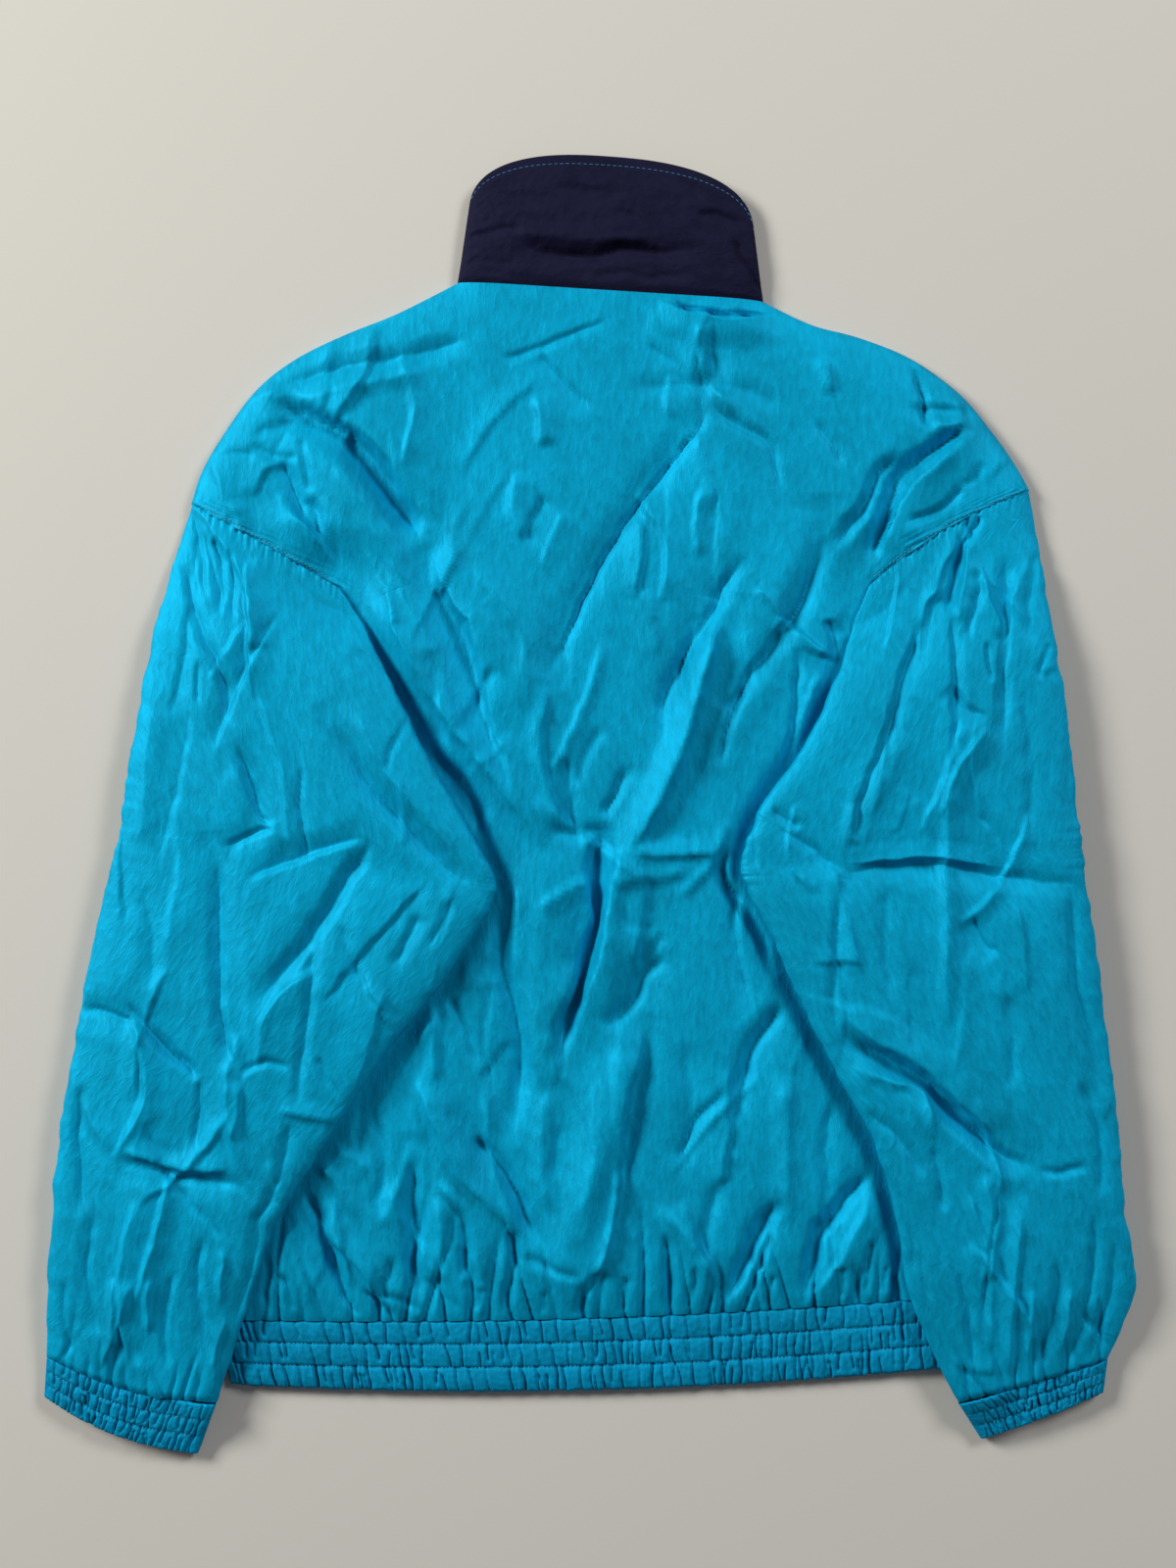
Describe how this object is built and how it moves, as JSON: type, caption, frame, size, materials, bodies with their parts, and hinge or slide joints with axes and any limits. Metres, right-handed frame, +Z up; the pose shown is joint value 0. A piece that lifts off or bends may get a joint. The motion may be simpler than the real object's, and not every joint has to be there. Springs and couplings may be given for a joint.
{
  "type": "track jacket",
  "caption": "Nylon track jacket with a stand collar, zip front and gathered waistband and cuffs, zipped and laid flat face down with its sleeves beside the body.",
  "frame": {"origin": "on the surface that the jacket lies on, under the middle of its outline", "axes": "+Y up the back towards the collar, +X towards the wearer's right sleeve, +Z up from the surface"},
  "size_m": [0.6683, 0.7968, 0.0309],
  "materials": {
    "shell": "crinkled nylon taffeta with a satin sheen",
    "collar": "navy nylon",
    "zip_tape": "woven tape",
    "zip_metal": "dull nickel"
  },
  "bodies": {
    "jacket": {"back": "shell", "front_left": "shell", "front_right": "shell", "sleeve_left": "shell", "sleeve_right": "shell", "cuff_left": "shell", "cuff_right": "shell", "waistband_back": "shell", "waistband_front_left": "shell", "waistband_front_right": "shell", "collar": "collar", "zip_tape_left": "zip_tape", "zip_tape_right": "zip_tape", "zip_slider": "zip_metal", "zip_box": "zip_metal"},
    "zip_pull": {"zip_pull": "zip_metal"}
  },
  "joints": [
    {"name": "zip_pull_swing", "type": "hinge", "parent": "jacket", "child": "zip_pull", "pos_m": [0.006, 0.3185, 0.00355], "axis": [1, 0, 0], "range_deg": [0, 160]}
  ]
}
